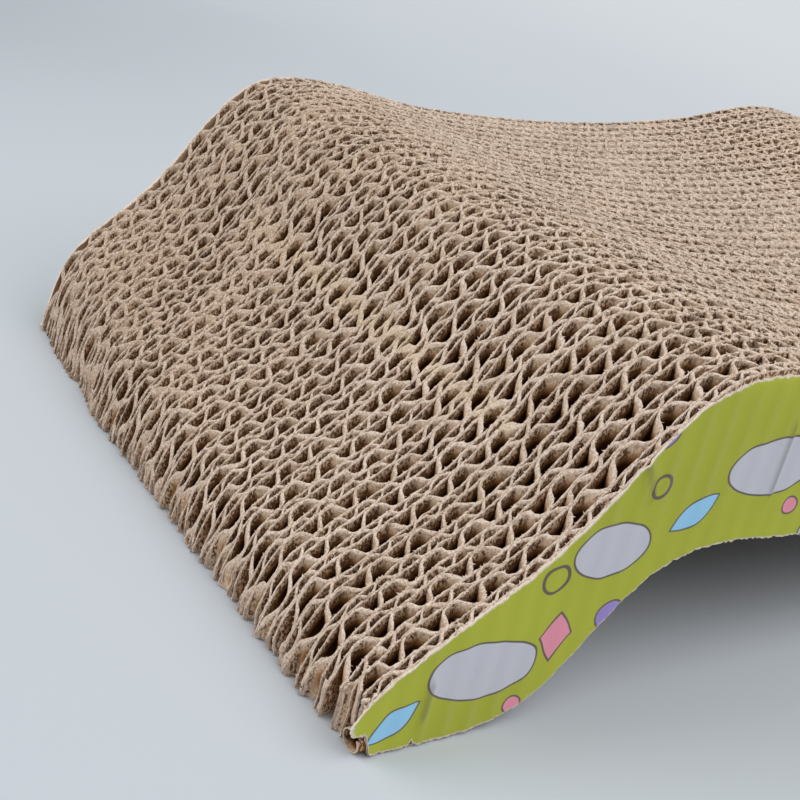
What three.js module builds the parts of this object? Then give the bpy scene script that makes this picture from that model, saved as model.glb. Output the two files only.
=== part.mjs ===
import * as THREE from 'three';

// Wave-shaped corrugated cardboard cat scratcher, in millimetres, +Z up.
// X runs along the wave, Y across the stack of boards, and the origin is on the floor under the middle.
// Upright strips of double-wall board stand side by side, so that their flutes open on the scratching face.

// Stack
const length = 400;
const boardCount = 31;
const boardThickness = 7.25;
const sheetThickness = 0.45; // printed paper on each outer side
const sheetTrim = 0.6; // how far the paper stops short of the floor

// Corrugation of one board
const flutePitch = 8.4; // large flute, from one glue line to the next
const facePly = 2.75; // liners and fine flute that back the large flute
const firstGlueLine = 4.4; // nearest that a strip's first glue line comes to its end
const phaseStep = 1.2; // how much later each strip's first glue line lies than its neighbour's
const phaseSpread = 4; // a later one starts again from the first

// Nose at each end of a strip
const noseRadius = 4.5;
const noseFlat = 3; // height of the blunt cut
const noseSlope = 2; // slope where the round nose passes into the steep toe

// Scratching face: distance in from the end, height above the floor, slope
const toe = { run: 10, height: 19.2, slope: 0.8 };
const hollow = { run: 36, height: 37.3, slope: 0.68 };
const flank = { run: 57, height: 58.3, slope: 1.33 };
const crest = { run: 86, height: 80, slope: 0 };
const shoulder = { run: 115, height: 76.4, slope: -0.14 };
const dipHeight = 70.4;

// Underside
const stripDepth = 41; // upright depth between the scratching face and the arch
const heelRun = 25; // where the flat foot starts to turn up into the arch

// How far a straight edge may leave the wave
const boardSag = 1.4;
const sheetSag = 0.15;

const cardboardColour = 0xb59a7c;
const printColour = 0x9aa038;

const halfLength = length / 2;
const noseCentre = Math.sqrt( noseRadius ** 2 - ( noseFlat / 2 ) ** 2 );
const noseTurn = Math.atan( noseSlope );
const noseEnd = {
	run: noseCentre - noseRadius * Math.sin( noseTurn ),
	height: noseRadius + noseRadius * Math.cos( noseTurn ),
	slope: noseSlope,
};
const dip = { run: halfLength, height: dipHeight, slope: 0 };
const waveStations = [ noseEnd, toe, hollow, flank, crest, shoulder, dip ];

// Height of a smooth cubic between two stations of the wave
function between( from, to, run ) {

	const span = to.run - from.run;
	const t = ( run - from.run ) / span;
	const rise = t * t * ( 3 - 2 * t );
	const leave = t * ( 1 - t ) ** 2 * span * from.slope;
	const arrive = t * t * ( t - 1 ) * span * to.slope;
	return from.height + rise * ( to.height - from.height ) + leave + arrive;

}

// Half the height of the round nose at a distance in from the end
function noseHalfHeight( run ) {

	return Math.sqrt( noseRadius ** 2 - ( noseCentre - run ) ** 2 );

}

// Scratching face at a distance in from the nearer end
function faceHeight( run ) {

	if ( run <= noseEnd.run ) return noseRadius + noseHalfHeight( run );
	const next = waveStations.findIndex( ( station ) => run < station.run );
	if ( next < 0 ) return dip.height;
	return between( waveStations[ next - 1 ], waveStations[ next ], run );

}

// Underside: round nose, flat foot, a soft heel, then an arch that follows the wave at the strip's depth
function underHeight( run ) {

	if ( run < noseCentre ) return noseRadius - noseHalfHeight( run );
	if ( run <= heelRun ) return 0;
	const heelDrop = stripDepth - faceHeight( heelRun );
	const lift = faceHeight( run ) - stripDepth;
	if ( lift >= heelDrop ) return lift;
	return ( lift + heelDrop ) ** 2 / ( 4 * heelDrop );

}

// Halves a stretch until its straight edges stay close to the wave
function splitStretch( from, to, sag ) {

	const middle = ( from + to ) / 2;
	const leave = ( height ) => Math.abs( height( middle ) - ( height( from ) + height( to ) ) / 2 );
	if ( Math.max( leave( faceHeight ), leave( underHeight ) ) <= sag ) return [ from ];
	return [ ...splitStretch( from, middle, sag ), ...splitStretch( middle, to, sag ) ];

}

// Positions along X, from end to end, that follow the wave
function wavePositions( sag ) {

	const marks = [ 0, noseCentre, heelRun, crest.run, halfLength ];
	const half = marks.slice( 1 ).flatMap( ( mark, n ) => splitStretch( marks[ n ], mark, sag ) );
	const left = half.map( ( run ) => run - halfLength );
	const right = half.map( ( run ) => halfLength - run ).reverse();
	return [ ...left, 0, ...right ];

}

// Solid that stands between the underside and the scratching face over a plan:
// a straight back, a row of valleys parallel to it, and one pointed flute on each pair of valleys
function uprightSolid( { back, valleys, thickness, tips = [], tipDepth = thickness, trim = 0 } ) {

	const plan = [
		...back.map( ( x ) => [ x, 0 ] ),
		...valleys.map( ( x ) => [ x, thickness ] ),
		...tips.map( ( tip ) => [ tip.x, tipDepth ] ),
	];
	const points = [];
	for ( const [ x, y ] of plan ) {

		const run = halfLength - Math.abs( x );
		points.push( x, y, underHeight( run ) + trim, x, y, faceHeight( run ) );

	}

	const valleyAt = ( j ) => back.length + j;
	const tipAt = ( k ) => back.length + valleys.length + k;
	const triangles = [];
	const cap = ( a, b, c ) => triangles.push( 2 * a + 1, 2 * b + 1, 2 * c + 1, 2 * a, 2 * c, 2 * b );
	const wall = ( a, b ) => triangles.push( 2 * a, 2 * b, 2 * b + 1, 2 * a, 2 * b + 1, 2 * a + 1 );

	// The plate behind the flutes, zipped from one end to the other
	let i = 0;
	let j = 0;
	while ( i < back.length - 1 || j < valleys.length - 1 ) {

		const stepBack = j === valleys.length - 1 || ( i < back.length - 1 && back[ i + 1 ] <= valleys[ j + 1 ] );
		if ( stepBack ) cap( i, i + 1, valleyAt( j ) );
		else cap( i, valleyAt( j + 1 ), valleyAt( j ) );
		if ( stepBack ) i ++;
		else j ++;

	}

	for ( let n = 0; n < back.length - 1; n ++ ) wall( n, n + 1 );
	wall( back.length - 1, valleyAt( valleys.length - 1 ) );
	wall( valleyAt( 0 ), 0 );

	// Each stretch between valleys carries a flute or stays flat
	for ( let n = 0; n < valleys.length - 1; n ++ ) {

		const k = tips.findIndex( ( tip ) => tip.valley === n );
		if ( k < 0 ) {

			wall( valleyAt( n + 1 ), valleyAt( n ) );
			continue;

		}

		cap( valleyAt( n ), valleyAt( n + 1 ), tipAt( k ) );
		wall( valleyAt( n + 1 ), tipAt( k ) );
		wall( tipAt( k ), valleyAt( n ) );

	}

	const geometry = new THREE.BufferGeometry();
	geometry.setAttribute( 'position', new THREE.Float32BufferAttribute( points, 3 ) );
	geometry.setIndex( triangles );
	geometry.computeVertexNormals();
	return geometry;

}

// One board: the flutes start where the strip happened to be cut from its sheet
function boardGeometry( index ) {

	const phase = firstGlueLine + ( index * phaseStep ) % phaseSpread;
	const fluteCount = Math.floor( ( length - phase ) / flutePitch );
	const glueLines = Array.from( { length: fluteCount + 1 }, ( _, n ) => phase - halfLength + n * flutePitch );
	const endGap = flutePitch / 10; // a nearer glue line is the end itself
	const inner = glueLines.filter( ( x ) => halfLength - Math.abs( x ) > endGap );
	const valleys = [ - halfLength, ...inner, halfLength ];
	const tips = [];
	for ( let n = 0; n < valleys.length - 1; n ++ ) {

		const span = valleys[ n + 1 ] - valleys[ n ];
		if ( span > flutePitch - 2 * endGap ) tips.push( { x: valleys[ n ] + span / 2, valley: n } );

	}

	const back = wavePositions( boardSag );
	return uprightSolid( { back, valleys, thickness: facePly, tips, tipDepth: boardThickness } );

}

function sheetGeometry() {

	const positions = wavePositions( sheetSag );
	return uprightSolid( { back: positions, valleys: positions, thickness: sheetThickness, trim: sheetTrim } );

}

function piece( name, geometry, colour, y ) {

	const material = new THREE.MeshStandardMaterial( { color: colour, roughness: 0.95, metalness: 0 } );
	const mesh = new THREE.Mesh( geometry, material );
	mesh.name = name;
	mesh.position.y = y;
	return mesh;

}

const scratcher = new THREE.Group();
const stackWidth = boardCount * boardThickness;
const frontSide = - stackWidth / 2;
scratcher.add( piece( 'printed_sheet_front', sheetGeometry(), printColour, frontSide - sheetThickness ) );
for ( let index = 0; index < boardCount; index ++ ) {

	const name = `board_${ String( index + 1 ).padStart( 2, '0' ) }`;
	scratcher.add( piece( name, boardGeometry( index ), cardboardColour, frontSide + index * boardThickness ) );

}

scratcher.add( piece( 'printed_sheet_back', sheetGeometry(), printColour, frontSide + stackWidth ) );

export default scratcher;
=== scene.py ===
# Looks of a wave-shaped scratcher made of corrugated board strips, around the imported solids
import math

import bpy
import numpy as np
from mathutils import Matrix, Vector


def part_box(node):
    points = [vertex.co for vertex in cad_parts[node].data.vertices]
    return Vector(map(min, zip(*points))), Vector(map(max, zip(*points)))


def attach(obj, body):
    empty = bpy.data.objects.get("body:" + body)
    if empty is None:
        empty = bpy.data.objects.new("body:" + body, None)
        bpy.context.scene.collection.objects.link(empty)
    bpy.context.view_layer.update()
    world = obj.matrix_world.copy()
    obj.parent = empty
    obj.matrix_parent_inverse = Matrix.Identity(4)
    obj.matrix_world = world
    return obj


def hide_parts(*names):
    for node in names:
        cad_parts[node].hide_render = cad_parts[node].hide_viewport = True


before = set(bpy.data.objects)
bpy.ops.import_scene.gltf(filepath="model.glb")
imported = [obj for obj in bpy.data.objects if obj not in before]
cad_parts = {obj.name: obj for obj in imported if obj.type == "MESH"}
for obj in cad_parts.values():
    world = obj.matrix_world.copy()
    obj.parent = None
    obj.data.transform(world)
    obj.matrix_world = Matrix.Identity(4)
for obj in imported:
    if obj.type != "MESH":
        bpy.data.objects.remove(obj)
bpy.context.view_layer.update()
scene = bpy.context.scene
mm = 0.001
toMm = 1000
print("frame loaded:", len(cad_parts), "nodes")


# Shader wires: an expression on values adds its nodes
class Wire:
    def __init__(self, tree, socket=None):
        self.tree = tree
        self.socket = socket

    # Any node: its settings first, then a value or a wire for each socket
    def node(self, kind, settings=None, sockets=None, output=0):
        made = self.tree.nodes.new(kind)
        for name, value in (settings or {}).items():
            setattr(made, name, value)
        for name, value in (sockets or {}).items():
            if isinstance(value, Wire):
                self.tree.links.new(value.socket, made.inputs[name])
            else:
                made.inputs[name].default_value = value
        return Wire(self.tree, made.outputs[output]) if made.outputs else None

    # Another output of the same node
    def other(self, output):
        return Wire(self.tree, self.socket.node.outputs[output])

    def math(self, operation, *values):
        return self.node("ShaderNodeMath", {"operation": operation}, dict(enumerate(values)))

    def __add__(self, other):
        return self.math("ADD", self, other)

    def __sub__(self, other):
        return self.math("SUBTRACT", self, other)

    def __rsub__(self, other):
        return self.math("SUBTRACT", other, self)

    def __mul__(self, other):
        return self.math("MULTIPLY", self, other)

    def __truediv__(self, other):
        return self.math("DIVIDE", self, other)

    def __rtruediv__(self, other):
        return self.math("DIVIDE", other, self)

    def __pow__(self, other):
        return self.math("POWER", self, other)

    def __rpow__(self, other):
        return self.math("POWER", other, self)

    def __abs__(self):
        return self.math("ABSOLUTE", self)

    __radd__ = __add__
    __rmul__ = __mul__

    def floor(self):
        return self.math("FLOOR", self)

    def cosine(self):
        return self.math("COSINE", self)

    def most(self, other):
        return self.math("MAXIMUM", self, other)

    # 0 below start, 1 above end, eased between; start may lie above end
    def ease(self, start, end):
        if start > end:
            return 1 - self.ease(end, start)
        steps = {"interpolation_type": "SMOOTHSTEP"}
        return self.node("ShaderNodeMapRange", steps, {"Value": self, "From Min": start, "From Max": end})

    # Colour from the first to the second; these sockets share their names, so they go by number
    def mix(self, first, second):
        return self.node("ShaderNodeMix", {"data_type": "RGBA"}, {0: self, 6: first, 7: second}, 2)

    def noise(self, scale, detail=3.0, rough=0.55, stretch=(1, 1, 1)):
        turned = self.node("ShaderNodeVectorMath", {"operation": "MULTIPLY"}, {0: self, 1: stretch})
        return self.node("ShaderNodeTexNoise", None,
                         {"Vector": turned, "Scale": scale, "Detail": detail, "Roughness": rough})

    # The three numbers of a vector
    def axes(self):
        x = self.node("ShaderNodeSeparateXYZ", None, {0: self})
        return x, x.other(1), x.other(2)

    # Values kept at a mesh's points
    def stored(self, name):
        return self.node("ShaderNodeAttribute", {"attribute_name": name}, None, "Fac")

    def bump(self, strength, distance):
        return self.node("ShaderNodeBump", None, {"Strength": strength, "Distance": distance, "Height": self})


# Colour written as it should look, 0 to 255, turned to linear light
def paint(red, green, blue):
    linear = [c / 12.92 if c <= 0.04045 else ((c + 0.055) / 1.055) ** 2.4
              for c in (red / 255, green / 255, blue / 255)]
    return (*linear, 1.0)


def newMaterial(name):
    material = bpy.data.materials.new(name)
    material.use_nodes = True
    tree = material.node_tree
    tree.nodes.clear()
    return material, Wire(tree)


def finishMaterial(wire, colour, roughness, normal, gloss):
    shader = wire.node("ShaderNodeBsdfPrincipled", None,
                       {"Base Color": colour, "Roughness": roughness, "Normal": normal,
                        "Specular IOR Level": gloss})
    wire.node("ShaderNodeOutputMaterial", None, {"Surface": shader})


# Camera at the photograph's place, fitted to the wave's edges, in an 800 by 800 image
camera = {
    "place": (-311.2, -268.2, 164.4),  # mm
    "yaw": 54.49, "down": 31.63, "roll": 11.25,  # degrees
    "focal": 1252.5, "centre": (372.2, 570.2), "image": 800.0,  # pixels
    "sensor": 36, "nearest": 0.01,  # mm, m
}


def addCamera(s):
    yaw, down, roll = (math.radians(s[k]) for k in ("yaw", "down", "roll"))
    ahead = Vector((math.cos(down) * math.cos(yaw), math.cos(down) * math.sin(yaw), -math.sin(down)))
    level = Vector((math.sin(yaw), -math.cos(yaw), 0))
    upright = level.cross(ahead)
    right = level * math.cos(roll) + upright * math.sin(roll)
    up = upright * math.cos(roll) - level * math.sin(roll)
    data = bpy.data.cameras.new("camera")
    data.sensor_width = s["sensor"]
    data.lens = s["focal"] / s["image"] * data.sensor_width
    data.shift_x = 0.5 - s["centre"][0] / s["image"]
    data.shift_y = s["centre"][1] / s["image"] - 0.5
    data.clip_start = s["nearest"]
    eye = bpy.data.objects.new("camera", data)
    turn = Matrix((right, up, -ahead)).transposed().to_4x4()
    eye.matrix_world = Matrix.Translation(Vector(s["place"]) * mm) @ turn
    scene.collection.objects.link(eye)
    scene.camera = eye


addCamera(camera)
print("camera placed")

# Soft room: an even sky, a wide window behind the left end, a wide fill high over the near side, a pale floor
# with painted light toward the right and painted shade behind the left end
room = {
    "sky": (0.94, 0.97, 1.0), "skyStrength": 0.32,
    "window": (-0.6, 0.5, 0.5), "windowPower": 1.75, "windowAngle": 50,  # from where, W/m2, degrees
    "fill": (0.35, -0.6, 1.0), "fillPower": 2.0, "fillAngle": 60,
    "floorSize": 6000,  # mm
    "floor": (192, 198, 204), "floorPaintedLight": (209, 213, 216), "floorPaintedShade": (164, 170, 176),
    "paintedLightFrom": (0.1, 1.0), "paintedShadeAcross": (0.25, 0.7), "paintedShadeAlong": (0.35, -0.2),  # m, start and full
    "drift": 0.1, "driftGrain": (6.0, 2.0), "grain": 900.0, "bump": (0.02, 0.0005),
    "rough": 0.6, "gloss": 0.3,
}


def addSun(name, fromWhere, power, angle):
    data = bpy.data.lights.new(name, "SUN")
    data.energy = power
    data.angle = math.radians(angle)
    lamp = bpy.data.objects.new(name, data)
    lamp.rotation_euler = (-Vector(fromWhere)).to_track_quat("-Z", "Y").to_euler()
    scene.collection.objects.link(lamp)


def floorMaterial(s):
    material, wire = newMaterial("pale_floor")
    place = wire.node("ShaderNodeTexCoord", output="Object")
    x, y = place.axes()[:2]
    x = x + place.noise(*s["driftGrain"]) * s["drift"]
    # painted light: the floor grows lighter toward the right; painted shade: darker far behind, toward the
    # left
    colour = x.ease(*s["paintedLightFrom"]).mix(paint(*s["floor"]), paint(*s["floorPaintedLight"]))
    paintedShade = y.ease(*s["paintedShadeAcross"]) * x.ease(*s["paintedShadeAlong"])
    colour = paintedShade.mix(colour, paint(*s["floorPaintedShade"]))
    finishMaterial(wire, colour, s["rough"], place.noise(s["grain"]).bump(*s["bump"]), s["gloss"])
    return material


def addRoom(s):
    world = bpy.data.worlds.new("room")
    world.use_nodes = True
    sky = world.node_tree.nodes["Background"]
    sky.inputs["Color"].default_value = (*s["sky"], 1)
    sky.inputs["Strength"].default_value = s["skyStrength"]
    scene.world = world
    addSun("window", s["window"], s["windowPower"], s["windowAngle"])
    addSun("fill", s["fill"], s["fillPower"], s["fillAngle"])
    half = s["floorSize"] * mm / 2
    corners = [(-half, -half, 0), (half, -half, 0), (half, half, 0), (-half, half, 0)]
    mesh = bpy.data.meshes.new("floor")
    mesh.from_pydata(corners, [], [(0, 1, 2, 3)])
    mesh.materials.append(floorMaterial(s))
    floor = bpy.data.objects.new("floor", mesh)
    scene.collection.objects.link(floor)


addRoom(room)
scene.view_settings.view_transform = "Standard"
print("room lit")

stationSlack = 0.02  # mm, points this close share a station of the wave
tipSlack = 0.1  # mm, points this close to the far side are tips of a board's teeth


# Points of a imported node, mm
def nodePoints(node):
    return np.array([v.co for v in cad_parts[node].data.vertices]) / mm


# The wave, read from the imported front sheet: heights of the scratching face and of the underside
def readWave(node):
    points = nodePoints(node)
    places = np.unique(points[:, 0].round(2))
    near = [np.abs(points[:, 0] - x) < stationSlack for x in places]
    face = np.array([points[here, 2].max() for here in near])
    under = np.array([points[here, 2].min() for here in near])
    return places, face, under - under.min()


# Smooth curve between two heights: t runs from 0 to 1 over the span, with a slope at each end
def bridge(t, span, low, high, leaving, arriving):
    rise = t * t * (3 - 2 * t)
    leave = t * (1 - t) ** 2 * span * leaving
    arrive = t * t * (t - 1) * span * arriving
    return low + rise * (high - low) + leave + arrive


# Height anywhere along the wave, on a smooth curve through its stations
def smoothLine(places, heights):
    slopes = np.gradient(heights, places)

    def height(x):
        x = np.clip(x, places[0], places[-1])
        i = np.clip(np.searchsorted(places, x) - 1, 0, len(places) - 2)
        span = places[i + 1] - places[i]
        t = (x - places[i]) / span
        return bridge(t, span, heights[i], heights[i + 1], slopes[i], slopes[i + 1])

    return height


wavePlaces, waveFace, waveUnder = readWave("printed_sheet_front")
faceHeight = smoothLine(wavePlaces, waveFace)
underHeight = smoothLine(wavePlaces, waveUnder)
halfLength = wavePlaces[-1]
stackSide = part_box("board_01")[0].y / mm  # near face of the stack
boardThickness = (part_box("board_02")[0].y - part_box("board_01")[0].y) / mm
boardNames = sorted(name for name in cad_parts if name.startswith("board_"))
print("wave read from", len(wavePlaces), "stations")


# Wear of the whole stack, mm; a run is counted inwards from the nearest end of the wave
wear = {
    # far toe corner pressed together
    "squeeze": 13.0, "squeezeStart": 2.0, "squeezeRun": 15.0, "squeezeFrom": 30.0, "squeezeCurve": 1.3,
    # strips end short of the solids, in a steep round
    "end": 3.0, "endHeight": 2.0, "endSlope": 3.7, "toe": 14.0, "toeSlope": 0.8,
    # ends pushed back: how far, y from and to; the round grows by this share for each mm
    "pushes": ((2.0, -88, -106), (2.9, 40, 70), (2.0, 92, 112)), "pushRound": 0.1,
    # near toe corner: its first boards are worn less on top, the outermost is torn away over the floor
    "cornerDrop": 0.5, "cornerBoards": 3, "hollow": 5.6, "hollowRun": (6.0, 8.0), "hollowLeast": 1.2,
    # pressed line across the slope
    "score": 53.0, "scoreWidth": 3.0, "scoreDepth": 0.9, "scoreFrom": -77, "scoreTo": 53, "scoreFade": 8,
    # how far the cut is pushed about, everywhere and on the far slope; where that slope starts and is full
    "crush": 0.2, "crushFar": 0.3, "crushLengths": (9, 13, 19, 29, 47), "crushSeed": 77,
    "slopeX": (-60, -150), "slopeY": (-60, 60),
    # painted shade in the cells deepens faster on the crests and slower in the dip: how much, and the runs
    # from start to full
    "crestPaintedShade": 0.7, "crestFrom": (70, 95), "crestTo": (180, 125), "dipPaintedShade": 0.4, "dipFrom": (140, 185),
    "closedFrom": (70, 100),  # where lips close the fine flutes
}


def easeStep(value, start, end):
    t = np.clip((value - start) / (end - start), 0, 1)
    return t * t * (3 - 2 * t)


def runIn(x):
    return halfLength - np.abs(x)


# Scratching face with its ends worn back to a steep round
def wornFace(x, push=0.0):
    push = np.where(x < 0, push, 0)
    start = wear["end"] + push
    span = (wear["toe"] - wear["end"]) * (1 + wear["pushRound"] * push)
    t = np.clip((runIn(x) - start) / span, 0, 1)
    full = faceHeight(halfLength - start - span)
    worn = bridge(t, span, wear["endHeight"], full, wear["endSlope"], wear["toeSlope"])
    return np.where(t < 1, np.minimum(worn, faceHeight(x)), faceHeight(x))


# How far the strips' visible ends are pushed back at the toe
def endPush(y):
    return sum(far * easeStep(y, start, end) for far, start, end in wear["pushes"])


# Upper edge of the outermost papers, worn less at the toe
def cornerFace(x):
    return np.where(x < 0, faceHeight(x) - wear["cornerDrop"], wornFace(x))


# Upper edge of one board: from the near corner on, each is worn a little more than the last
def boardFace(push, share):
    def face(x):
        return cornerFace(x) + (wornFace(x, push) - cornerFace(x)) * share
    return face


# Lower edge of the outermost papers, torn away at the toe
def hollowEdge(x):
    lift = wear["hollow"] * (1 - easeStep(x + halfLength, *wear["hollowRun"]))
    highest = np.maximum(cornerFace(x) - wear["hollowLeast"], underHeight(x))
    return np.minimum(underHeight(x) + lift, highest)


# 0 to 1: how tightly the far toe corner is pressed together
def pressed(x, y):
    share = np.clip((y - wear["squeezeFrom"]) / (-stackSide - wear["squeezeFrom"]), 0, 1)
    run = np.maximum(x + halfLength - wear["squeezeStart"], 0)
    return share ** wear["squeezeCurve"] * np.exp(-run / wear["squeezeRun"])


def squeezeCorner(x, y):
    return y - wear["squeeze"] * pressed(x, y)


# 0 to 1: how far out on the far part of the toe's slope
def farSlope(x, y):
    return easeStep(x, *wear["slopeX"]) * easeStep(y, *wear["slopeY"])


# How fast the painted shade in the cells deepens downwards
def paintedCellShade(x):
    run = runIn(x)
    crest = easeStep(run, *wear["crestFrom"]) * easeStep(run, *wear["crestTo"])
    return 1 + wear["crestPaintedShade"] * crest - wear["dipPaintedShade"] * easeStep(run, *wear["dipFrom"])


def scoreDent(x, y):
    across = easeStep(y, wear["scoreFrom"] - wear["scoreFade"], wear["scoreFrom"])
    across = across * easeStep(y, wear["scoreTo"] + wear["scoreFade"], wear["scoreTo"])
    return wear["scoreDepth"] * across * np.exp(-((x + halfLength - wear["score"]) / wear["scoreWidth"]) ** 2)


rippleSpread = {"length": (0.85, 1.2), "height": (0.6, 1.0)}


# Smooth ripple along a line: a few sines of about these lengths
def ripple(along, rng, lengths, height):
    total = np.zeros_like(along)
    for length in lengths:
        turns = along / (length * rng.uniform(*rippleSpread["length"])) + rng.uniform()
        total += np.sin(2 * math.pi * turns) * rng.uniform(*rippleSpread["height"])
    return height * total / math.sqrt(len(lengths))


# How far the cut ends of the papers are pushed sideways: neighbours move together
def crushField(x, y):
    rng = np.random.default_rng(wear["crushSeed"])
    amount = wear["crush"] + wear["crushFar"] * farSlope(x, y)
    shifts = [np.zeros_like(x), np.zeros_like(x)]
    for length in wear["crushLengths"]:
        for shift in shifts:
            angle = rng.uniform(0, 2 * math.pi)
            turns = (x * math.cos(angle) + y * math.sin(angle)) / length + rng.uniform()
            shift += np.sin(2 * math.pi * turns) * amount * (length / max(wear["crushLengths"])) ** 0.5
    return shifts


# Cut edge of any paper
cutEdge = {
    "leanLengths": (4, 7, 13), "frayLengths": (1.7, 2.9, 5.3), "lipLengths": (3.1, 5.7),  # ripples, mm
    "lipWave": 0.3, "lipScatter": 0.25, "lipLeast": 0.2,  # shares of the lip
    "dent": (0.3, 1), "pressFull": 1.6, "rowRoom": 1.2,  # shares
    "leastHeight": 0.5, "slopeStep": 0.1, "endSpot": 0.01,  # mm
}


# One paper standing on edge: a plan line given a thickness and cut to the wave at its top, bottom and ends
def standPaper(x, y, thickness, lipShare, rng, s):
    along = np.concatenate([[0], np.cumsum(np.hypot(np.diff(x), np.diff(y)))])
    fromEnd = np.minimum(along, along[-1] - along)
    tx, ty = np.gradient(x), np.gradient(y)
    size = np.hypot(tx, ty)
    nx, ny = -ty / size, tx / size
    count = len(x)
    lean = ripple(along, rng, cutEdge["leanLengths"], s["lean"])
    shiftX, shiftY = crushField(x, y)
    dent = scoreDent(x, y) * rng.uniform(*cutEdge["dent"], count)
    torn = ripple(along, rng, cutEdge["frayLengths"], s["fray"])
    height = np.maximum(s["topEdge"](x) - s["bottomEdge"](x), cutEdge["leastHeight"])
    shrink = np.minimum(1, height / (cutEdge["rowRoom"] * (s["top"][-1] + s["bottom"][0])))
    press = np.minimum(1, cutEdge["pressFull"] * pressed(x, y))
    step = cutEdge["slopeStep"]
    slope = (s["topEdge"](x + step) - s["topEdge"](x - step)) / (2 * step)
    steep = np.minimum(1, s["steepShade"] / np.hypot(1, slope))
    paintedShade = paintedCellShade(x) if s["paintedCellShade"] else 1
    score = scoreDent(x, y) / wear["scoreDepth"]
    wider = np.maximum(s["farLip"] * farSlope(x, y), s["steepLip"] * (1 - steep))
    closing = s["crestLip"] * easeStep(runIn(x), *wear["closedFrom"])
    evenLip = lipShare * (1 + wider + s["scoreLip"] * score + closing)
    sides, depths = [], []
    for side in (1, -1):
        wave = ripple(along, rng, cutEdge["lipLengths"], cutEdge["lipWave"])
        lip = evenLip * (1 + wave + rng.normal(0, cutEdge["lipScatter"], count)).clip(cutEdge["lipLeast"])
        ragged = np.abs(torn + s["fray"] * rng.normal(0, 1, count))
        loose = s["loose"] * rng.normal(0, 1, count)
        points, toCuts = [], []
        for row, depth in enumerate(s["top"] + s["bottom"]):
            upper = row < len(s["top"])
            fromCut = depth * shrink
            toCut = np.minimum(fromCut * steep, fromEnd)
            flare = np.maximum(np.interp(toCut, s["lipDepths"], s["lipShape"]), press)
            leans = np.exp(-toCut / s["leanReach"]) * upper
            crumbs = s["crumb"] * rng.normal(0, 1, count)
            half = thickness / 2 * (1 + lip * flare) + s["pressPad"] * press
            out = side * half + lean * leans + (loose + crumbs) * flare
            endFray = s["endFray"] * rng.normal(0, 1, count) * (fromEnd < cutEdge["endSpot"])
            px = np.clip(x + nx * out + shiftX * leans + endFray, -halfLength, halfLength)
            py = y + ny * out + shiftY * leans
            drop = fromCut + ragged * np.exp(-fromCut / s["frayReach"])
            z = s["topEdge"](px) - drop - dent * leans if upper else s["bottomEdge"](px) + drop
            points.append(np.stack([px, squeezeCorner(px, py), np.maximum(z, 0)], 1))
            # depth below the cut that sets the painted shade: deeper on the crests, shallower in the dip and
            # where the corner is pressed shut
            toCuts.append(toCut * (1 - press * s["pressBare"]) * paintedShade)
        sides.append(np.stack(points, 1))
        depths.append(np.stack(toCuts, 1))
    rings = np.concatenate([sides[0], sides[1][:, ::-1]], 1)
    depth = np.concatenate([depths[0], depths[1][:, ::-1]], 1)
    return rings, {"cutDepth": depth}


def unit(vectors):
    return vectors / np.maximum(np.linalg.norm(vectors, axis=1, keepdims=True), 1e-6)


# Torn fibres along a paper's upper cut: thin closed slivers, most of them hanging down its walls
def tornFibres(rings, rng, s):
    count, around = rings.shape[:2]
    up = np.array([[0, 0, 1.0]])
    fibres = []
    for edge in (0, around - 1):
        line = rings[:, edge]
        length = np.hypot(*np.diff(line[:, :2], axis=0).T).sum()
        many = int(length / s["fibreStep"])
        at = rng.uniform(0, count - 1.001, many)
        i = at.astype(int)
        share = (at - i)[:, None]
        root = line[i] * (1 - share) + line[i + 1] * share
        along = unit(line[i + 1] - line[i])
        across = rings[i, edge] - rings[i, around - 1 - edge]
        across[:, 2] = 0
        out = unit(across)
        each = (many, 1)
        hangs = rng.uniform(0, 1, each) < s["hanging"]
        wide = rng.uniform(*s["fibreWide"], each)
        fall = rng.uniform(0, 1, each) ** s["fibreCurve"] * s["fibreLong"] + s["fibreShort"]
        reach = np.where(hangs, rng.uniform(*s["hangReach"], each), rng.uniform(*s["standReach"], each))
        lift = np.where(hangs, -fall, rng.uniform(*s["standLift"], each))
        slant = rng.uniform(*s["fibreSlant"], each)
        left = root - along * wide / 2
        right = root + along * wide / 2
        heart = root - out * s["fibreRoot"] - up * np.where(hangs, s["hangRoot"], s["standRoot"])
        tip = root + out * reach + along * slant + up * lift
        fibres.append(np.stack([left, right, heart, tip], 1))
    fibres = np.concatenate(fibres)
    fibres[:, :, 0] = np.clip(fibres[:, :, 0], -halfLength, halfLength)
    fibres[:, :, 2] = np.maximum(fibres[:, :, 2], 0)
    a, b, c, d = fibres.transpose(1, 0, 2)
    turned = np.einsum("ij,ij->i", np.cross(b - a, c - a), d - a) < 0
    fibres[turned] = fibres[turned][:, [1, 0, 2, 3]]
    return fibres


# Bake map, 0 to 1: a band for each paper, and one at the top for the fibres
bakeMap = {
    "leastStep": 1.2,  # mm, so that cut edges get room
    "margin": 0.02, "cap": 0.01, "fibres": 0.12,
    "fibreSpot": ((0.1, 0.1), (0.9, 0.1), (0.1, 0.9)), "highest": 0.999,
}


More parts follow.
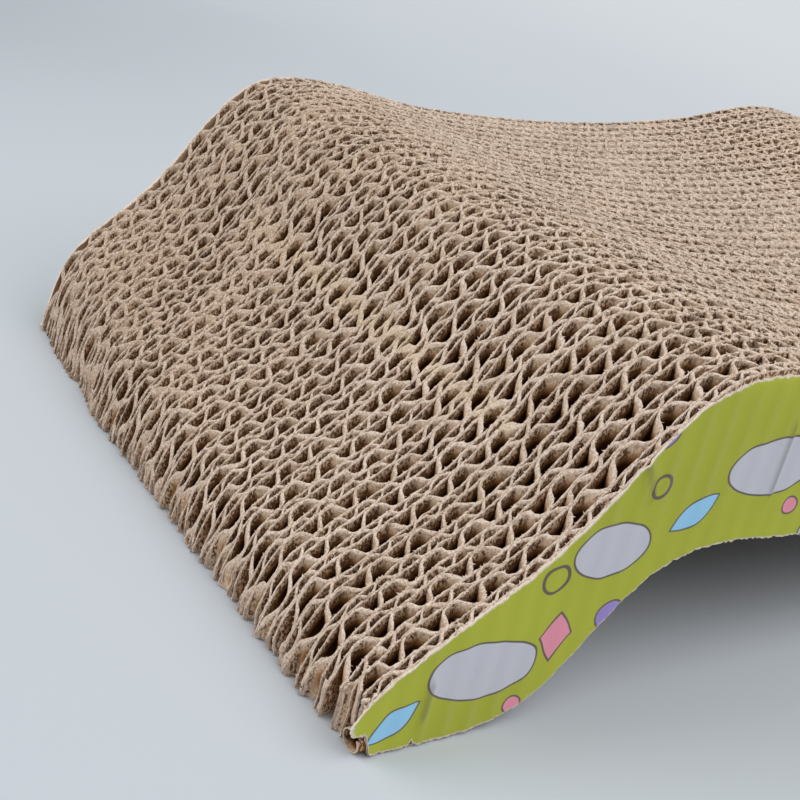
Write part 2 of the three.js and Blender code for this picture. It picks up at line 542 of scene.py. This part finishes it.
# Where a paper's walls and both its ends lie on the map
def bandMap(rings, low, high):
    count, around = rings.shape[:2]
    margin, cap = bakeMap["margin"], bakeMap["cap"]
    steps = np.linalg.norm(np.roll(rings, -1, 1) - rings, axis=2).mean(0)
    steps = np.maximum(steps, bakeMap["leastStep"])
    across = np.concatenate([[0], np.cumsum(steps)]) / steps.sum()
    across = low + (high - low) * (margin + (1 - 2 * margin) * across)
    along = np.linspace(cap, 1 - cap, count)
    i, j = np.meshgrid(np.arange(count - 1), np.arange(around), indexing="ij")
    walls = np.stack([along[i], across[j], along[i], across[j + 1], along[i + 1], across[j + 1],
                      along[i + 1], across[j]], 2).reshape(-1, 4, 2)
    rows = np.arange(around // 2 - 1)
    a, b = across[rows], across[rows + 1]
    zero, one = np.zeros_like(a), np.ones_like(a)
    first = np.stack([zero + cap, a, zero, a, zero, b, zero + cap, b], 1).reshape(-1, 4, 2)
    last = np.stack([one - cap, a, one - cap, b, one, b, one, a], 1).reshape(-1, 4, 2)
    return np.concatenate([walls, first, last])


# Faces of one paper: a closed shell of rings, its points counted from first
def shellFaces(first, count, around):
    index = first + np.arange(count * around).reshape(count, around)
    nextOver = np.roll(index, -1, 1)
    walls = np.stack([index[:-1], nextOver[:-1], nextOver[1:], index[1:]], 2).reshape(-1, 4)
    rows = np.arange(around // 2 - 1)
    caps = [index[0][[r, around - 1 - r, around - 2 - r, r + 1]] for r in rows]
    caps += [index[-1][[r, r + 1, around - 2 - r, around - 1 - r]] for r in rows]
    return np.concatenate([walls, caps])


# Faces of torn fibres, four points each, and where they lie on the map
def fibreFaces(first, many):
    index = first + np.arange(many * 4).reshape(many, 4)
    triangles = index[:, [[0, 2, 1], [0, 1, 3], [1, 2, 3], [2, 0, 3]]].reshape(-1, 3)
    wide = int(math.ceil(math.sqrt(many / bakeMap["fibres"])))
    cell = np.stack([np.arange(many) % wide, np.arange(many) // wide], 1) / wide
    shape = np.array(bakeMap["fibreSpot"]) / wide
    spots = np.repeat(cell[:, None] + shape[None] + np.array([0, 1 - bakeMap["fibres"]]), 4, axis=0)
    spots[:, :, 1] = np.minimum(spots[:, :, 1], bakeMap["highest"])
    return triangles, spots


def turnedInward(points, quads):
    a, b, c, d = points[quads].transpose(1, 0, 2)
    volume = np.einsum("ij,ij->i", a, np.cross(b, c)).sum()
    return volume + np.einsum("ij,ij->i", a, np.cross(c, d)).sum() < 0


fibreDepth = {"points": (0.1, 0.1, 0.4, 0.0), "spread": 0.5}  # shaded as if this far below the cut, mm
sharpAngle = 75  # degrees


# Joins papers to one mesh, and their torn fibres
def paperMesh(name, papers, material, rng, fibres=None):
    points, quads, maps, layers = [], [], [], {"tone": []}
    first = 0
    band = (1 - (bakeMap["fibres"] if fibres else 0.0)) / len(papers)
    for n, (rings, values) in enumerate(papers):
        count, around = rings.shape[:2]
        points.append(rings.reshape(-1, 3))
        quads.append(shellFaces(first, count, around))
        maps.append(bandMap(rings, n * band, (n + 1) * band))
        layers["tone"].append(np.full(count * around, rng.uniform()))
        for label, value in values.items():
            layers.setdefault(label, []).append(value.ravel())
        first += count * around
    quads, maps = np.concatenate(quads), np.concatenate(maps)
    if turnedInward(np.concatenate(points), quads):
        quads, maps = quads[:, ::-1], maps[:, ::-1]
    triangles, spots = np.zeros((0, 3), int), np.zeros((0, 3, 2))
    if fibres:
        slivers = np.concatenate(fibres)
        many = len(slivers)
        triangles, spots = fibreFaces(first, many)
        points.append(slivers.reshape(-1, 3))
        layers["tone"].append(np.repeat(rng.uniform(0, 1, many), 4))
        depth = np.array([fibreDepth["points"]]) + rng.uniform(0, fibreDepth["spread"], (many, 1))
        layers["cutDepth"].append(depth.ravel())
    points = np.concatenate(points) * mm
    loops = np.concatenate([quads.ravel(), triangles.ravel()])
    starts = np.concatenate([np.arange(len(quads)) * 4, quads.size + np.arange(len(triangles)) * 3])
    mesh = bpy.data.meshes.new(name)
    mesh.vertices.add(len(points))
    mesh.vertices.foreach_set("co", points.ravel())
    mesh.loops.add(len(loops))
    mesh.loops.foreach_set("vertex_index", loops)
    mesh.polygons.add(len(starts))
    mesh.polygons.foreach_set("loop_start", starts)
    mesh.polygons.foreach_set("use_smooth", np.arange(len(starts)) < len(quads))
    mesh.update(calc_edges=True)
    mesh.set_sharp_from_angle(angle=math.radians(sharpAngle))
    laidOut = mesh.uv_layers.new(name="OFBake")
    laidOut.uv.foreach_set("vector", np.concatenate([maps.ravel(), spots.ravel()]).astype(np.float32))
    for label, values in layers.items():
        layer = mesh.attributes.new(label, "FLOAT", "POINT")
        layer.data.foreach_set("value", np.concatenate(values).astype(np.float32))
    mesh.materials.append(material)
    made = bpy.data.objects.new(name, mesh)
    scene.collection.objects.link(made)
    return made


# Kraft board: pale torn fibre at the cut, streaked walls painted lighter near the cut, and painted shade
# darkening them further down
kraft = {
    "cut": (233, 215, 199), "cutShade": (190, 165, 142), "scored": (208, 182, 138), "felt": (146, 119, 94),
    # the wall colour is painted lighter than the paper so that its upper part stays bright in shade; the
    # middle and deep colours are painted shade down the cells
    "wall": (224, 196, 168), "streak": (203, 174, 147), "middle": (180, 133, 86), "paintedDeepShade": (66, 32, 6),
    "paintedPitShadow": (92, 56, 24),
    # grain: scale, detail, roughness, stretch
    "strands": (1750.0, 2.0, 0.6, (1, 1, 0.6)), "fuzz": (1700.0, 3.0, 0.7), "cloud": (38.0, 3.0),
    # paper walls: streaks, and the depths in mm where each colour of painted shade starts and is full
    "streakGrain": (0.35, 0.68), "cloudGrain": (0.35, 0.7), "cloudStreak": 0.25, "toneStreak": 0.15,
    "paintedMidShadeFrom": (1.3, 3.4), "paintedDeepShadeFrom": (2.1, 5.0),
    # painted shadow in the gaps between hanging fibres, most on walls that face the next board
    "paintedFringeShadow": 0.88, "fringeFrom": (0.22, 0.8), "fringeTo": (4.5, 2.6), "fringeGrain": (0.45, 0.53),
    "fringeSide": (0.25, 0.75), "fringeLow": 0.2,
    # the cut, more worn on the far slope, and darker low over the floor as painted shade
    "cutTo": (0.65, 0.25), "cutFray": 0.9, "cutGrain": (0.36, 0.56), "toneCut": 0.25,
    "wornX": (-70, -150), "wornY": (-60, 60), "wornShade": 0.35, "wornFelt": 0.6, "feltGrain": (0.56, 0.44),
    "low": (15, 8), "lowPaintedShade": 0.25,
    # the pressed line
    "scoreWide": (2.8, 0.8), "scoreDeep": (3.0, 1.0), "scoreFade": 4, "scoreTint": 0.2,
    "bump": (0.8, 0.0004), "strandBump": 0.5, "fuzzBump": (6.0, 0.5),
    "rough": 0.86, "roughFuzz": 0.1, "gloss": 0.15,
}


def kraftMaterial(s):
    material, wire = newMaterial("kraft_board")
    place = wire.node("ShaderNodeTexCoord", output="Object")
    x, y, z = (axis * toMm for axis in place.axes())
    depth, tone = wire.stored("cutDepth"), wire.stored("tone")
    strands, fuzz, cloud = (place.noise(*s[name]) for name in ("strands", "fuzz", "cloud"))
    low = z.ease(*s["low"])
    sideways = abs(wire.node("ShaderNodeTexCoord", output="Normal").axes()[1])
    wall = strands.ease(*s["streakGrain"]).mix(paint(*s["wall"]), paint(*s["streak"]))
    streaked = cloud.ease(*s["cloudGrain"]) * s["cloudStreak"] + tone * s["toneStreak"]
    wall = streaked.mix(wall, paint(*s["streak"]))
    # painted shade: the walls darken with depth below the cut, as the cells do in shade
    wall = depth.ease(*s["paintedMidShadeFrom"]).mix(wall, paint(*s["middle"]))
    wall = depth.ease(*s["paintedDeepShadeFrom"]).mix(wall, paint(*s["paintedDeepShade"]))
    # painted shadow: dark specks in the gaps between hanging fibres
    paintedFringeShadow = depth.ease(*s["fringeFrom"]) * depth.ease(*s["fringeTo"]) * strands.ease(*s["fringeGrain"])
    paintedFringeShadow = paintedFringeShadow * sideways.ease(*s["fringeSide"]).most(low * s["fringeLow"])
    wall = (paintedFringeShadow * s["paintedFringeShadow"]).mix(wall, paint(*s["paintedPitShadow"]))
    worn = x.ease(*s["wornX"]) * y.ease(*s["wornY"])
    cut = (fuzz.ease(*s["cutGrain"]) - tone * s["toneCut"]).mix(paint(*s["cutShade"]), paint(*s["cut"]))
    # painted shade: the cut is darker low over the floor; on the far slope it is worn
    cut = (worn * s["wornShade"]).most(low * s["lowPaintedShade"]).mix(cut, paint(*s["cutShade"]))
    cut = (worn * fuzz.ease(*s["feltGrain"]) * s["wornFelt"]).mix(cut, paint(*s["felt"]))
    colour = (depth + strands * s["cutFray"] - s["cutFray"] / 2).ease(*s["cutTo"]).mix(wall, cut)
    scored = abs(x + halfLength - wear["score"]).ease(*s["scoreWide"]) * depth.ease(*s["scoreDeep"])
    scored = scored * y.ease(wear["scoreFrom"] - s["scoreFade"], wear["scoreFrom"])
    scored = scored * y.ease(wear["scoreTo"] + s["scoreFade"], wear["scoreTo"])
    colour = (scored * s["scoreTint"]).mix(colour, paint(*s["scored"]))
    rough = s["rough"] + fuzz * s["roughFuzz"]
    height = strands * s["strandBump"] + fuzz * depth.ease(*s["fuzzBump"])
    finishMaterial(wire, colour, rough, height.bump(*s["bump"]), s["gloss"])
    return material


# One strip of double-wall board: back liner, fine flute, middle liner, large flute; mm
corrugation = {
    "backLiner": 0.32, "midLiner": 0.3, "fineFlute": 0.26, "largeFlute": 0.3,  # paper
    "facePly": 2.9, "finePitch": 6.0, "fluteSquare": 1.8, "fluteSkew": 0.03,
    "linerRipple": 0.19, "linerLengths": (11, 19, 37),
    "pitchDrift": 0.042, "largeDrift": (23, 41, 67), "fineDrift": (17, 31, 53),  # turns, and ripples
    "linerStep": 0.65, "fineSteps": 12, "largeSteps": 18, "endGap": 1.2, "endSteps": (0.15, 0.4, 0.8, 1.4),
    "stripSeed": 400, "backSeed": 100, "midSeed": 200,
    "top": (0, 0.25, 0.7, 1.3, 2.4, 5.0), "bottom": (2.0, 0),  # rows of a paper, from its cut
    # torn lip along the cut, rounded over, wider where worn
    "lipDepths": (0, 0.25, 0.7, 1.3, 2.4, 5.0), "lipShape": (0.2, 0.75, 1.0, 0.95, 0.7, 0),
    "linerLip": 0.6, "fluteLip": 1.3, "farLip": 1.0, "steepLip": 0.9, "scoreLip": 1.6,
    "crestLip": 0.0, "fineCrestLip": 1.4,  # fine flutes are nearly closed on the crests
    # depth below a steep cut counts for more, in the lip's shape and in its painted shade; it counts for
    # less, with less painted shade, where the corner is pressed shut
    "pressPad": 0.12, "pressBare": 0.8, "steepShade": 2.4, "paintedCellShade": True,
    "crumb": 0.07, "loose": 0.06, "lean": 0.15, "leanReach": 2.6,
    "fray": 0.2, "frayReach": 0.7, "endFray": 0.12,
    # torn fibres
    "fibreStep": 0.45, "fibreWide": (0.15, 0.5), "fibreLong": 2.2, "fibreShort": 0.4, "fibreCurve": 1.6,
    "hanging": 0.75, "hangReach": (0.0, 0.3), "standReach": (0.25, 0.7), "standLift": (-0.35, 0.3),
    "fibreSlant": (-0.5, 0.5), "fibreRoot": 0.14, "hangRoot": 0.5, "standRoot": 0.15,
    # loose curl: y and height of its middle, half its width and height; then its rows, degrees and how much
    # its painted shade is deepened
    "curl": (3.1, 2.6, 3.0, 2.5), "curlRows": (5.0, 5.4, 6.3, 9.0, 13.0),
    "curlTurn": (140, 480), "curlSteps": 40, "curlPaintedShade": 2,
}


def fluteRise(turns, s):
    turned = turns + s["fluteSkew"] * np.sin(2 * math.pi * turns)
    return 0.5 - 0.5 * np.tanh(s["fluteSquare"] * np.cos(2 * math.pi * turned)) / math.tanh(s["fluteSquare"])


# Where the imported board's teeth touch the next board, along the wave
def boardTips(node):
    points = nodePoints(node)
    return np.unique(points[points[:, 1] > points[:, 1].max() - tipSlack, 0].round(1))


def fluteBetween(x, turns, lowLine, highLine, lowPaper, highPaper, paper, s):
    low = lowLine(x) + (lowPaper + paper) / 2
    high = highLine(x) - (highPaper + paper) / 2
    return low + (high - low) * fluteRise(turns, s)


# A liner's line in plan, straight at the outer sides and rippled inside the stack
def linerLine(y, seed, height, s):
    def line(x):
        return y + ripple(x, np.random.default_rng(seed), s["linerLengths"], height)
    return line


# A curl of loose paper that lies along the floor at the near toe corner
def curledEnd(s):
    turn = np.radians(np.linspace(*s["curlTurn"], s["curlSteps"]))[:, None]
    y, z, wide, high = s["curl"]
    x = np.array(s["curlRows"])
    rings = []
    for bare in (0.0, s["midLiner"]):
        across = stackSide + y + (wide - bare) * np.cos(turn)
        above = np.maximum(z + (high - bare) * np.sin(turn), 0)
        rings.append(np.stack(np.broadcast_arrays(x - halfLength, across, above), 2))
    shell = np.concatenate([rings[0], rings[1][:, ::-1]], 1)
    depth = np.concatenate([x, x[::-1]])[None] + np.zeros_like(turn)
    # its depth counted double, for deeper painted shade on the curl
    return shell, {"cutDepth": s["curlPaintedShade"] * (depth - x[0])}


# Places along one paper, close together at its ends, which stop short of the nose by chance and by the push
def spread(step, rng, s, tight, push):
    start, end = wear["end"] + rng.uniform(0, s["endGap"], 2) * np.array([1 - tight, 1])
    start += push
    count = int((2 * halfLength - start - end) / step) + 1
    places = np.linspace(start - halfLength, halfLength - end, count)
    extra = np.array(s["endSteps"])
    return np.unique(np.concatenate([places, places[0] + extra, places[-1] - extra]).round(3))


def addBoard(k, node, material, s):
    rng = np.random.default_rng(s["stripSeed"] + k)
    y = stackSide + k * boardThickness
    backRipple, nextRipple = (s["linerRipple"] if 0 < n < len(boardNames) else 0.0 for n in (k, k + 1))
    back = linerLine(y + s["backLiner"] / 2, s["backSeed"] + k, backRipple, s)
    after = linerLine(y + boardThickness + s["backLiner"] / 2, s["backSeed"] + k + 1, nextRipple, s)
    mid = linerLine(y + s["facePly"] - s["midLiner"] / 2, s["midSeed"] + k, s["linerRipple"], s)
    push = endPush(y + boardThickness / 2)
    ends = (pressed(-halfLength, y), push)
    edges = {**s, "topEdge": boardFace(push, easeStep(k, 0, wear["cornerBoards"])),
             "bottomEdge": underHeight if k else hollowEdge}
    x = spread(s["linerStep"], rng, s, *ends)
    papers = [standPaper(x, back(x), s["backLiner"], s["linerLip"], rng, edges)]
    x = spread(s["linerStep"], rng, s, *ends)
    papers.append(standPaper(x, mid(x), s["midLiner"], s["linerLip"], rng, edges))
    tips = boardTips(node)
    pitch = np.diff(tips).mean()
    x = spread(pitch / s["largeSteps"], rng, s, *ends)
    turns = (x - tips[0]) / pitch + 0.5 + ripple(x, rng, s["largeDrift"], s["pitchDrift"])
    line = fluteBetween(x, turns, mid, after, s["midLiner"], s["backLiner"], s["largeFlute"], s)
    papers.append(standPaper(x, line, s["largeFlute"], s["fluteLip"], rng, edges))
    x = spread(s["finePitch"] / s["fineSteps"], rng, s, *ends)
    turns = x / s["finePitch"] + rng.uniform() + ripple(x, rng, s["fineDrift"], s["pitchDrift"])
    line = fluteBetween(x, turns, back, mid, s["backLiner"], s["midLiner"], s["fineFlute"], s)
    fineEdges = {**edges, "crestLip": s["fineCrestLip"]}
    papers.append(standPaper(x, line, s["fineFlute"], s["fluteLip"], rng, fineEdges))
    fibres = [tornFibres(paper[0], rng, s) for paper in papers]
    if k == 0:
        papers.append(curledEnd(s))
    strip = paperMesh("strip_" + node[-2:], papers, material, rng, fibres)
    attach(strip, "root")
    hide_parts(node)


boardMaterial = kraftMaterial(kraft)
for boardNumber, boardName in enumerate(boardNames):
    addBoard(boardNumber, boardName, boardMaterial, corrugation)
print("boards made:", len(boardNames))

# Printed paper on the outer sides; mm
printed = {
    "paper": 0.4, "step": 0.5, "trim": 0.6, "topGap": 0.5, "farRise": 0.45, "noseGap": 2.6,
    "frontSeed": 11, "backSeed": 10,
    "top": (0, 0.6, 2, 5, 9, 13, 17), "bottom": (18, 13, 9, 5, 2, 0.6, 0),  # rows, from its cut
    # its cut: a slight lip, frayed, with none of the boards' wear
    "lip": 0.3, "lipDepths": (0, 0.6, 2), "lipShape": (0.5, 1, 0),
    "fray": 0.22, "frayReach": 0.7, "endFray": 0.1, "leanReach": 1.0, "pressPad": 0.4, "steepShade": 1.6,
    "farLip": 0.0, "steepLip": 0.0, "scoreLip": 0.0, "crestLip": 0.0, "pressBare": 0.0, "paintedCellShade": False,
    "crumb": 0.0, "loose": 0.0, "lean": 0.0,
    # near sheet slipped down over the crests, with its lower edge where that is off the floor
    "sag": 1.25, "sagFrom": (70, 79), "sagTo": (118, 104), "sagAbove": 20,
    "nick": (17.6, 0.7, 1.6),  # run, half width and height, in the lower edge
    "washboard": 0.2, "washPitch": 6.0,  # flutes showing through
    # creases: run and height of both ends
    "creases": ((99.5, 51, 99.5, 68), (19, 7, 19.6, 17), (59.7, 62.5, 65, 53)),
    "crease": 0.6, "creaseWide": 0.9,
    "ground": (177, 182, 59), "groundShade": (167, 172, 54), "white": (198, 198, 207), "line": (104, 94, 86),
    "pink": (232, 148, 168), "violet": (156, 138, 204), "blue": (150, 204, 238),
    # inside is the sheet's kraft back, painted darker than its own colour as shade
    "torn": (216, 204, 187), "inside": (168, 140, 114),
    # motifs: shape, run and height of its middle in the first column, size, colour
    "motifs": (
        ("pebble", (32, 17), (13.5, 7.2), "white"), ("pebble", (58, 42), (10, 6.5), "white"),
        ("diamond", (49, 22), (4.4, 6.2), "pink"), ("pebble", (63, 25), (3.8, 3.8), "violet"),
        ("leaf", (12, 8), (7.0, 3.0), "blue"), ("ring", (45, 37), (3.2, 0.8), "line"),
        ("ring", (66, 56), (2.4, 0.8), "line"), ("pebble", (42, 6), (2.2, 2.2), "pink"),
    ),
    "tile": (66.0, 44.0), "tileStep": 40.0, "leafTurn": 35, "outline": 0.24, "edgeSoft": 0.12,
    "wobble": 2.6, "wobbleRun": (70.0, 1.0), "wobbleHeight": (85.0, 1.0),
    # grain: scale, detail, roughness
    "fuzz": (1300.0, 3.0, 0.65), "cloud": (24.0, 3.0), "cloudGrain": (0.3, 0.7),
    "rub": 0.08, "rubWave": (0.2, 1.0), "rubGrain": (0.4, 0.7),  # paler along the flutes
    "creasePaintedShade": 0.4, "creasePaintedShadeFrom": (0.1, 1.0), "rimTo": (0.7, 0.2), "rimFray": 1.6,  # painted shade along the creases, torn rim
    "bump": (0.25, 0.0003), "rough": 0.52, "roughFuzz": 0.16, "gloss": 0.3,
}


# Distances from a motif's middle, which repeats a step higher in the next column
def tileSpot(run, z, middle, s):
    wide, high = s["tile"]
    column = ((run - middle[0]) / wide + 0.5).floor()
    turns = (z - middle[1] - column * s["tileStep"]) / high
    return run - middle[0] - column * wide, (turns - (turns + 0.5).floor()) * high


# Distance to a motif's edge in mm, below 0 inside
def motifEdge(shape, x, z, size, s):
    a, b = size
    if shape == "pebble":
        far = (x * x / (a * a) + z * z / (b * b)) ** 0.5
        steep = (x * x / a ** 4 + z * z / b ** 4) ** 0.5
        return far * (far - 1) / steep.most(0.001)  # 0 at the middle
    if shape == "diamond":
        return (abs(x) / a + abs(z) / b - 1) * (a * b / math.hypot(a, b))
    if shape == "ring":
        return abs((x * x + z * z) ** 0.5 - a) - b / 2
    turn = math.radians(s["leafTurn"])
    along = x * math.cos(turn) + z * math.sin(turn)
    across = z * math.cos(turn) - x * math.sin(turn)
    return abs(across) - b * (1 - along * along / (a * a))


def printMaterial(s):
    material, wire = newMaterial("printed_paper")
    place = wire.node("ShaderNodeTexCoord", output="Object")
    axes = place.axes()
    depth, inside, fold = (wire.stored(name) for name in ("cutDepth", "inside", "fold"))
    fuzz, cloud = place.noise(*s["fuzz"]), place.noise(*s["cloud"])
    run = axes[0] * toMm + halfLength + (place.noise(*s["wobbleRun"]) - 0.5) * s["wobble"]
    z = axes[2] * toMm + (place.noise(*s["wobbleHeight"]) - 0.5) * s["wobble"]
    colour = cloud.ease(*s["cloudGrain"]).mix(paint(*s["ground"]), paint(*s["groundShade"]))
    soft = s["edgeSoft"]
    for shape, middle, size, name in s["motifs"]:
        dx, dz = tileSpot(run, z, middle, s)
        edge = motifEdge(shape, dx, dz, size, s)
        colour = edge.ease(soft, -soft).mix(colour, paint(*s[name]))
        if shape != "ring":
            stroke = abs(edge).ease(s["outline"] + soft, s["outline"] - soft)
            colour = stroke.mix(colour, paint(*s["line"]))
    flutes = (axes[0] * (2 * math.pi * toMm / s["washPitch"])).cosine()
    rubbed = flutes.ease(*s["rubWave"]) * cloud.ease(*s["rubGrain"])
    colour = (rubbed * s["rub"]).mix(colour, paint(*s["torn"]))
    # painted shade along the creases
    colour = (fold.ease(*s["creasePaintedShadeFrom"]) * s["creasePaintedShade"]).mix(colour, paint(*s["line"]))
    # the sheet's kraft back, darkened as painted shade
    colour = inside.mix(colour, paint(*s["inside"]))
    rim = (depth + fuzz * s["rimFray"] - s["rimFray"] / 2).ease(*s["rimTo"])
    colour = rim.mix(colour, inside.mix(paint(*s["torn"]), paint(*kraft["cut"])))
    finishMaterial(wire, colour, s["rough"] + fuzz * s["roughFuzz"], fuzz.bump(*s["bump"]), s["gloss"])
    return material


# 0 to 1: how near a crease of the paper lies
def creaseAt(run, z, s):
    near = np.zeros_like(run)
    for fromRun, fromHeight, toRun, toHeight in s["creases"]:
        dx, dz = toRun - fromRun, toHeight - fromHeight
        share = np.clip(((run - fromRun) * dx + (z - fromHeight) * dz) / (dx * dx + dz * dz), 0, 1)
        away = np.hypot(run - fromRun - share * dx, z - fromHeight - share * dz)
        near = np.maximum(near, np.exp(-(away / s["creaseWide"]) ** 2))
    return near


# The far sheet is like the near one turned half round, so its worn corner is at the other end
def addPrint(name, node, seed, material, s):
    rng = np.random.default_rng(seed)
    low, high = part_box(node)
    outward = 1 if low.y > 0 else -1
    push = endPush(low.y / mm)

    def sagAt(x):
        run = runIn(x)
        return s["sag"] * easeStep(run, *s["sagFrom"]) * easeStep(run, *s["sagTo"]) * (outward < 0)

    def topEdge(x):
        face = np.where(x * outward > 0, cornerFace(-np.abs(x)), wornFace(x, push) - s["topGap"])
        return face - sagAt(x) + s["farRise"] * (outward > 0)

    def bottomEdge(x):
        place, wide, tall = s["nick"]
        nick = tall * np.clip(1 - np.abs(x * outward - halfLength + place) / wide, 0, 1)
        lower = np.where(x * outward > 0, hollowEdge(-np.abs(x)), underHeight(x))
        return lower + s["trim"] + nick - np.where(lower > s["sagAbove"], sagAt(x), 0)

    gaps = (wear["end"] + push, s["noseGap"]) if outward > 0 else (s["noseGap"], wear["end"])
    x = np.arange(gaps[0] - halfLength, halfLength - gaps[1] + 0.01, s["step"])  # with its last place
    y = np.full_like(x, (low.y + high.y) / 2 / mm)
    edges = {**s, "topEdge": topEdge, "bottomEdge": bottomEdge}
    rings, values = standPaper(x, y, s["paper"], s["lip"], rng, edges)
    run, z = rings[:, :, 0] * -outward + halfLength, rings[:, :, 2]
    flutes = s["washboard"] * (0.5 + 0.5 * np.cos(2 * math.pi * (run - halfLength) / s["washPitch"]))
    fold = creaseAt(run, z, s)
    rings[:, :, 1] += outward * (flutes + s["crease"] * fold)
    inside = np.zeros_like(values["cutDepth"])
    half = inside.shape[1] // 2
    inside[:, slice(half, None) if outward > 0 else slice(0, half)] = 1
    sheet = paperMesh(name, [(rings, {**values, "inside": inside, "fold": fold})], material, rng)
    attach(sheet, "root")
    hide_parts(node)


sheetMaterial = printMaterial(printed)
addPrint("print_front", "printed_sheet_front", printed["frontSeed"], sheetMaterial, printed)
addPrint("print_back", "printed_sheet_back", printed["backSeed"], sheetMaterial, printed)
print("printed papers made")
